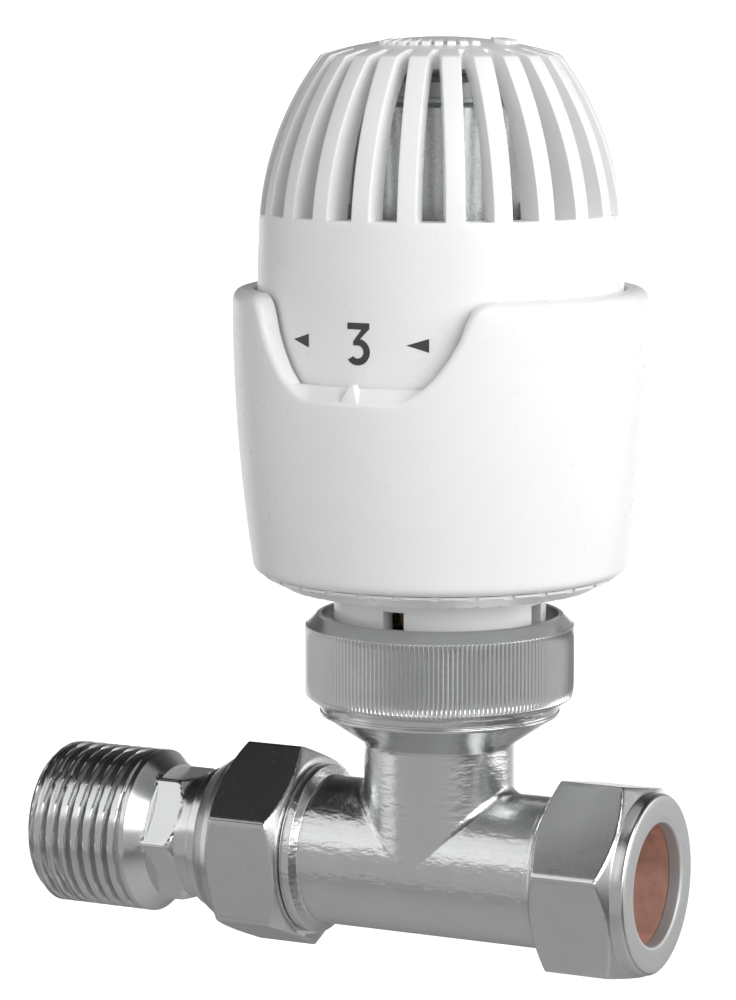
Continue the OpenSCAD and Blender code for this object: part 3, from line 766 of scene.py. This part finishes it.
def build_union_nut():
    turn = math.radians(37.4)
    right = union_high[0] - HEAD_X
    left = union_low[0] - HEAD_X
    hex_left = -27.3
    flat_r = NUT_FLATS / 2
    barrel_hole_r, ring_r, thread_r = 9.3, 10.3, BODY_THREAD_R + 0.05
    inside = rounded([(barrel_hole_r, left, 0.15), (barrel_hole_r, -28.9), (ring_r, -28.9), (ring_r, -27.4),
                      (thread_r, -27.4), (thread_r, right), (flat_r - 0.25, right)], 3)[:-1]
    over = chamfer(NUT_FLATS, right, -1) + chamfer(NUT_FLATS, hex_left, 1)[::-1]
    nose = rounded([(flat_r - 0.3, hex_left), (flat_r - 0.4, hex_left - 0.1, 0.1), (10.95, left + 1.8, 0.8),
                    (9.85, left, 0.5), (barrel_hole_r, left)], 5)[1:-1]
    outline = divided(inside + over + nose, 0.8)
    hexagon = hex_shape(NUT_FLATS, turn, hex_left - 0.05, right)
    nut = polar_solid("union_nut_hex", outline, hexagon_angles(turn), hexagon, "run", NUT_PLATE)
    stand_in(nut, "union_nut", "union_nut")


def build_compression_nut():
    turn = math.radians(180 - 11.1)
    left = comp_low[0] - HEAD_X
    right = comp_high[0] - HEAD_X
    hex_right = 27.8
    flat_r = NUT_FLATS / 2
    over = chamfer(NUT_FLATS, left, 1) + chamfer(NUT_FLATS, hex_right, -1)[::-1]
    nose = rounded([(flat_r - 0.3, hex_right), (11.2, hex_right + 0.12, 0.08), (11.15, right, 0.45),
                    (PIPE_R, right, 0.28), (PIPE_R, 28.0), (8.2, 28.0)], 5)[1:-1]
    thread_r = BODY_THREAD_R + 0.05
    inside = [(8.2, 28.0), (9.2, 27.0), (9.5, 25.4), (thread_r, 24.5), (thread_r, left)]
    outline = divided(over + nose + inside, 0.8)
    hexagon = hex_shape(NUT_FLATS, turn, left, hex_right + 0.05)
    nut = polar_solid("compression_nut_hex", outline, hexagon_angles(turn), hexagon, "run", SOCKET_PLATE)
    stand_in(nut, "compression_nut", "compression_nut")


def build_tailpiece():
    """Tailpiece with a true right-hand helical thread."""
    turn = 0.0
    end = tail_low[0] - HEAD_X
    face = tail_high[0] - HEAD_X
    shoulder = -40.1
    hex_span = (-38.75, -33.7)
    cone_end = -37.6
    bore, core_r, barrel_r = 6.5, 8.1, 9.0

    def thread(angle, z):
        phase = ((z - end) / THREAD_PITCH + angle / (2 * np.pi)) % 1.0
        ridge = np.clip(np.abs(phase - 0.5) * 3.9 - 0.86, 0, 1)
        ridge = ridge * ridge * (3 - 2 * ridge)
        tip = min(max((z - end - 0.15) / 0.9, 0.0), 1.0)
        out = min(max((shoulder - 0.35 - z) / 0.9, 0.0), 1.0)
        return THREAD_R - THREAD_DEPTH * ridge * out - 0.9 * (1 - tip)

    def shape(r, angle, z):
        if r < bore + 1 or r == barrel_r:
            return r + 0 * angle
        if z < shoulder:
            return thread(angle, z) if r > 8.5 else r + 0 * angle
        if z < cone_end:
            start = hexagon_radius(angle, TAIL_FLATS, turn) - 1.7 * max(hex_span[0] + 0.5 - z, 0)
            return np.maximum(r + 0 * angle, start)
        if z <= hex_span[1] + 0.1 and r > 7.9:
            return softer_min(r + 0 * angle, hexagon_radius(angle, TAIL_FLATS, turn), 0.2)
        return r + 0 * angle

    threads = [(THREAD_R, end + 0.02 + (shoulder - end) * k / 150) for k in range(150)]
    over = TAIL_FLATS / 2 / math.cos(math.radians(30))
    cone = rounded([(THREAD_R, shoulder), (THREAD_R, shoulder + 0.25, 0.2), (8.5, cone_end - 0.05, 0.12),
                    (8.3, cone_end - 0.02)], 4)
    hexes = [(over + 0.05, cone_end), (over + 0.05, hex_span[1] - 0.9), (over - 0.9, hex_span[1])]
    barrel = rounded([(core_r, -33.68), (core_r, -31.7, 0.1), (barrel_r, -31.5, 0.15), (barrel_r, -28.8),
                      (8.2, -28.7), (8.2, -28.0), (barrel_r, -27.9), (barrel_r, face, 0.2),
                      (bore, face, 0.2), (bore, end, 0.35)], 4)
    outline = divided(threads + cone[1:] + hexes + barrel, 0.5)
    angle = np.sort(hexagon_angles(turn, 36) % (2 * np.pi))
    tail = polar_solid("tailpiece_threaded", outline, angle, shape, "run", TAIL_PLATE)
    stand_in(tail, "tailpiece", BODY_FIXED)


build_union_nut()
build_compression_nut()
build_tailpiece()


# ---- Valve body ----

def cut(piece, cutter):
    """Takes the cutter away from the piece, for good."""
    modifier = add_modifier(piece, "BOOLEAN", operation="DIFFERENCE", solver="EXACT", object=cutter)
    bpy.context.view_layer.update()
    graph = bpy.context.evaluated_depsgraph_get()
    result = bpy.data.meshes.new_from_object(piece.evaluated_get(graph))
    piece.modifiers.remove(modifier)
    piece.data = result
    bpy.data.objects.remove(cutter)


def tee_outside():
    """Run and neck as one skin, cut into slices across the run, with a small fillet in the corners."""
    slices = 120
    half_turn = np.linspace(-90, 90, slices + 1)
    rows = []
    for degrees in half_turn:
        a = math.radians(degrees)
        y, h = RUN_R * math.sin(a), RUN_R * math.cos(a)
        if abs(degrees) == 90:
            h = 0.0
        fillet = 0.14 * h
        under = []
        for side, end in ((-1, 15.1), (1, 15.7)):
            along = [side * (end + (h + fillet - end) * k / 14) for k in range(15)]
            row = [(x, h) for x in along[:-1]]
            for k in range(9):
                b = math.radians(90 * k / 8)
                row.append((side * (h + fillet - fillet * math.sin(b)), h + fillet - fillet * math.cos(b)))
            row += [(side * h, h + fillet + (NECK_TOP - h - fillet) * k / 12) for k in range(1, 13)]
            rows.append([(x, y, z) for x, z in row])
            under += along if side < 0 else along[::-1]
        rows.append([(x, y, -h) for x in under])
    return rows, slices


def build_valve_body():
    rows, slices = tee_outside()
    points, faces = [], []
    starts = []
    for row in rows:
        starts.append(len(points))
        points += [((HEAD_X + x) * MM, y * MM, z * MM) for x, y, z in row]
    for s in range(slices):
        for part in range(3):
            a, b = starts[3 * s + part], starts[3 * s + 3 + part]
            count = len(rows[part])
            faces += [(a + k, a + k + 1, b + k + 1, b + k) for k in range(count - 1)]
    alpha = np.radians(np.linspace(-90, 90, slices + 1))
    neck_angles = np.concatenate([alpha, (np.pi - alpha)[1:-1][::-1]])
    run_angles = np.concatenate([np.pi / 2 - alpha, -(np.pi / 2 - alpha)[1:-1][::-1]])

    def add_rings(kind, outline, angles):
        """Rings of points that carry on from an edge of the skin, then a closing fan."""
        count = len(angles)
        base = len(points)
        for r, along in outline:
            points.extend(tuple(p) for p in to_world(kind, r, angles, along))
        faces.extend(tuple(base + v for v in face) for face in ring_faces(len(outline), count, closed=False))
        centre = len(points)
        points.append(tuple(to_world(kind, np.array([0.0]), np.array([0.0]), outline[-1][1])[0]))
        last = base + (len(outline) - 1) * count
        faces.extend((last + k, last + (k + 1) % count, centre) for k in range(count))

    neck = rounded([(RUN_R, NECK_TOP), (RUN_R, 15.4, 0.5), (14.35, 18.75, 0.25), (14.75, 19.0, 0.15),
                    (BOSS_R, 19.1, 0.1), (BOSS_R, 19.45, 0.1), (14.8, 19.55, 0.05), (14.8, 19.75, 0.05),
                    (BOSS_R, 19.85, 0.1), (BOSS_R, 25.2), (14.2, 26.0), (10.0, 26.0),
                    (10.0, NECK_TOP)], 4)[:-2]
    add_rings("head", neck, neck_angles)
    union_end = rounded([(RUN_R, -15.1), (RUN_R, -15.35, 0.2), (10.7, -15.85, 0.15), (10.7, -17.25, 0.2),
                         (RUN_R + 0.1, -17.3), (RUN_R + 0.1, -18.2), (BODY_THREAD_R, -18.6),
                         (BODY_THREAD_R, -25.7), (BODY_THREAD_R - 0.9, -26.6), (6.0, -26.6),
                         (6.0, -15.1)], 4)[:-2]
    add_rings("run", union_end, run_angles)
    pipe_end = rounded([(RUN_R, 15.7), (RUN_R, 15.75, 0.05), (9.95, 15.95, 0.1), (9.95, 16.45, 0.1),
                        (BODY_THREAD_R, 16.9), (BODY_THREAD_R, 22.9), (BODY_THREAD_R - 0.9, 23.8),
                        (6.0, 23.8), (6.0, 15.7)], 4)[:-2]
    add_rings("run", pipe_end, run_angles)
    body = finish_mesh("valve_body_tee", points, faces, BODY_PLATE, crease=None)

    def run_cutter(outline, lift=0.0, sides=96):
        cutter = lathe("cutter", outline, "run", BODY_PLATE, sides, crease=None)
        cutter.location.z = lift * MM
        return cutter

    socket = [(0, 9.2), (WATER_R, 9.2), (WATER_R, 11.5), (PIPE_R, 11.5), (PIPE_R, 22.2), (8.8, 24.2),
              (0, 24.2)]
    waterway = [(0, -27.5), (WATER_R, -27.5), (WATER_R, -11.0), (0, -11.0)]
    low_port = [(0, -4.6), (PORT_R, -4.6), (PORT_R, 9.7), (0, 9.7)]
    high_port = [(0, -12.0), (PORT_R, -12.0), (PORT_R, -6.0), (0, -6.0)]
    bonnet = [(0, -3.0), (SEAT_R, -3.0), (SEAT_R, 3.0), (5.2, 3.0), (5.2, 2.4), (7.0, 2.4), (7.0, 12.0),
              (7.6, 12.0), (7.6, 19.5), (10.6, 19.5), (10.6, 27.0), (0, 27.0)]
    cut(body, run_cutter(socket))
    cut(body, run_cutter(waterway))
    cut(body, run_cutter(low_port, -3.0))
    cut(body, run_cutter(high_port, 3.2))
    cut(body, lathe("cutter", bonnet, "head", BODY_PLATE, 96, crease=None))
    body.data.polygons.foreach_set("use_smooth", [True] * len(body.data.polygons))
    body.data.set_sharp_from_angle(angle=math.radians(34))
    stand_in(body, "valve_body", BODY_FIXED)


build_valve_body()


# ---- CAD pieces that keep their shape ----

CAD_MATERIALS = {
    "insert_housing": BRASS, "insert_oring": RUBBER, "gland_nut": BRASS, "gland_seal": RUBBER,
    "return_spring": SPRING, "union_ring": SPRING, "union_seal": FIBRE, "olive": COPPER,
    "head_base": ABS_FIXED, "base_ring": RING_WHITE, "knob_retainer": NYLON, "nut_retaining_ring": SPRING,
    "drive_sleeve": ACETAL, "sensor_carrier": ACETAL, "sensor_capsule": CAN, "sensor_cap": CAP,
    "sensor_bellows": BELLOWS, "sensor_piston": STEEL, "spring_cup": NYLON, "overtravel_spring": SPRING,
    "push_button": ACETAL, "valve_pin": STEEL, "pin_collar": SPRING, "plunger": BRASS,
    "seat_washer": RUBBER, "washer_nut": BRASS,
}
for node, material in CAD_MATERIALS.items():
    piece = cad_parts[node]
    for slot_index in range(len(piece.material_slots)):
        piece.material_slots[slot_index].material = material


# ---- Floor, light and camera ----

FLOOR_DROP = 0.5
BACKDROP_Y = 1.9
FLOOR_FRONT_Y = -0.9
BACKDROP_GLOW = 1.0
GLOW_FROM_Y = 1.0
GLOW_TO_Y = 1.45
GLOW_FROM_X = 0.7
GLOW_TO_X = -0.3


def build_stage():
    """A pale floor below the part, which the radiator would hold, curved up into a backdrop."""
    floor_z = cad_box[0][2] - FLOOR_DROP
    half_width = 4.0
    rise = [(FLOOR_FRONT_Y, floor_z), (BACKDROP_Y, floor_z)]
    rise += [(BACKDROP_Y + 0.6 * math.sin(math.radians(a)), floor_z + 0.6 * (1 - math.cos(math.radians(a))))
             for a in range(10, 91, 10)]
    points = [(x, y, z) for y, z in rise for x in (-half_width, half_width)]
    faces = [(2 * k, 2 * k + 1, 2 * k + 3, 2 * k + 2) for k in range(len(rise) - 1)]
    mesh = bpy.data.meshes.new("floor")
    mesh.from_pydata(points, [], faces)
    mesh.polygons.foreach_set("use_smooth", [True] * len(faces))
    floor = bpy.data.objects.new("studio_floor", mesh)
    bpy.context.scene.collection.objects.link(floor)
    n = Nodes("pale_floor")
    n.link(n.ramp(n.noise(3, 2), [(0.3, 0.90), (0.7, 0.92)]), n.shader.inputs["Base Color"])
    split = n.new("ShaderNodeSeparateXYZ")
    n.link(n.coords, split.inputs["Vector"])
    across = n.new("ShaderNodeMapRange", interpolation_type="SMOOTHSTEP")
    fade = n.new("ShaderNodeMapRange", interpolation_type="SMOOTHSTEP")
    for node, values in ((across, (GLOW_FROM_X, GLOW_TO_X, 0.35 * BACKDROP_GLOW, BACKDROP_GLOW)),
                         (fade, (GLOW_FROM_Y, GLOW_TO_Y, 0.0, BACKDROP_GLOW))):
        for socket, value in zip(("From Min", "From Max", "To Min", "To Max"), values):
            node.inputs[socket].default_value = value
    n.link(split.outputs["X"], across.inputs["Value"])
    n.link(across.outputs["Result"], fade.inputs["To Max"])
    n.link(split.outputs["Y"], fade.inputs["Value"])
    n.link(fade.outputs["Result"], n.shader.inputs["Emission Strength"])
    mesh.materials.append(n.finish(Roughness=0.9, Emission_Color=(1, 1, 1, 1)))


def area_light(name, place, target, size, power, tone=(1, 1, 1)):
    data = bpy.data.lights.new(name, "AREA")
    data.shape = "RECTANGLE"
    data.size, data.size_y = size
    data.energy = power
    data.color = tone
    light = bpy.data.objects.new(name, data)
    light.location = place
    light.rotation_euler = (Vector(target) - Vector(place)).to_track_quat("-Z", "Y").to_euler()
    bpy.context.scene.collection.objects.link(light)


def build_light():
    """A grey horizon under a dark ceiling, dimmer behind the left, and soft boxes round the part."""
    world = bpy.data.worlds.new("studio")
    bpy.context.scene.world = world
    world.use_nodes = True
    tree = world.node_tree
    coords = tree.nodes.new("ShaderNodeTexCoord")
    split = tree.nodes.new("ShaderNodeSeparateXYZ")
    tree.links.new(coords.outputs["Generated"], split.inputs["Vector"])
    ramp = tree.nodes.new("ShaderNodeValToRGB")
    stops = ((0.0, 0.50), (0.22, 0.50), (0.48, 0.12), (0.75, 0.02), (1.0, 0.04))
    elements = ramp.color_ramp.elements
    while len(elements) < len(stops):
        elements.new(0.5)
    for element, (position, value) in zip(elements, stops):
        element.position = position
        element.color = (value, value, value, 1)
    tree.links.new(split.outputs["Z"], ramp.inputs["Fac"])
    tree.links.new(ramp.outputs["Color"], tree.nodes["Background"].inputs["Color"])
    facing = tree.nodes.new("ShaderNodeVectorMath")
    facing.operation = "DOT_PRODUCT"
    facing.inputs[1].default_value = (-0.80, 0.60, 0.0)
    tree.links.new(coords.outputs["Generated"], facing.inputs[0])
    shade = tree.nodes.new("ShaderNodeMapRange")
    for socket, value in zip(("From Min", "From Max", "To Min", "To Max"), (0.45, 0.95, 1.0, 0.30)):
        shade.inputs[socket].default_value = value
    tree.links.new(facing.outputs["Value"], shade.inputs["Value"])
    tree.links.new(shade.outputs["Result"], tree.nodes["Background"].inputs["Strength"])
    middle = (HEAD_X * MM, 0, 0.045)
    area_light("key_right", (0.66, -0.22, 0.38), middle, (0.70, 0.60), 5.4)
    area_light("rim_right", (0.66, 0.50, 0.05), middle, (0.50, 0.40), 0.9)
    area_light("front_left", (-0.45, -0.66, 0.58), middle, (0.90, 0.70), 2.1)
    area_light("left_card", (-1.0, -0.40, 0.02), middle, (0.90, 0.80), 1.2)


def build_camera():
    away, up = 0.4828, 0.1112
    around, aim, dip = math.radians(25.48), math.radians(26.541), math.radians(7.731)
    data = bpy.data.cameras.new("camera")
    data.sensor_fit = "AUTO"
    data.sensor_width = 36
    data.lens = 141.5
    data.clip_start = 0.01
    camera = bpy.data.objects.new("camera", data)
    camera.location = (HEAD_X * MM + away * math.sin(around), -away * math.cos(around), up)
    camera.rotation_euler = (math.pi / 2 - dip, 0, aim)
    bpy.context.scene.collection.objects.link(camera)
    bpy.context.scene.camera = camera


build_stage()
build_light()
build_camera()
bpy.context.scene.view_settings.view_transform = "Standard"
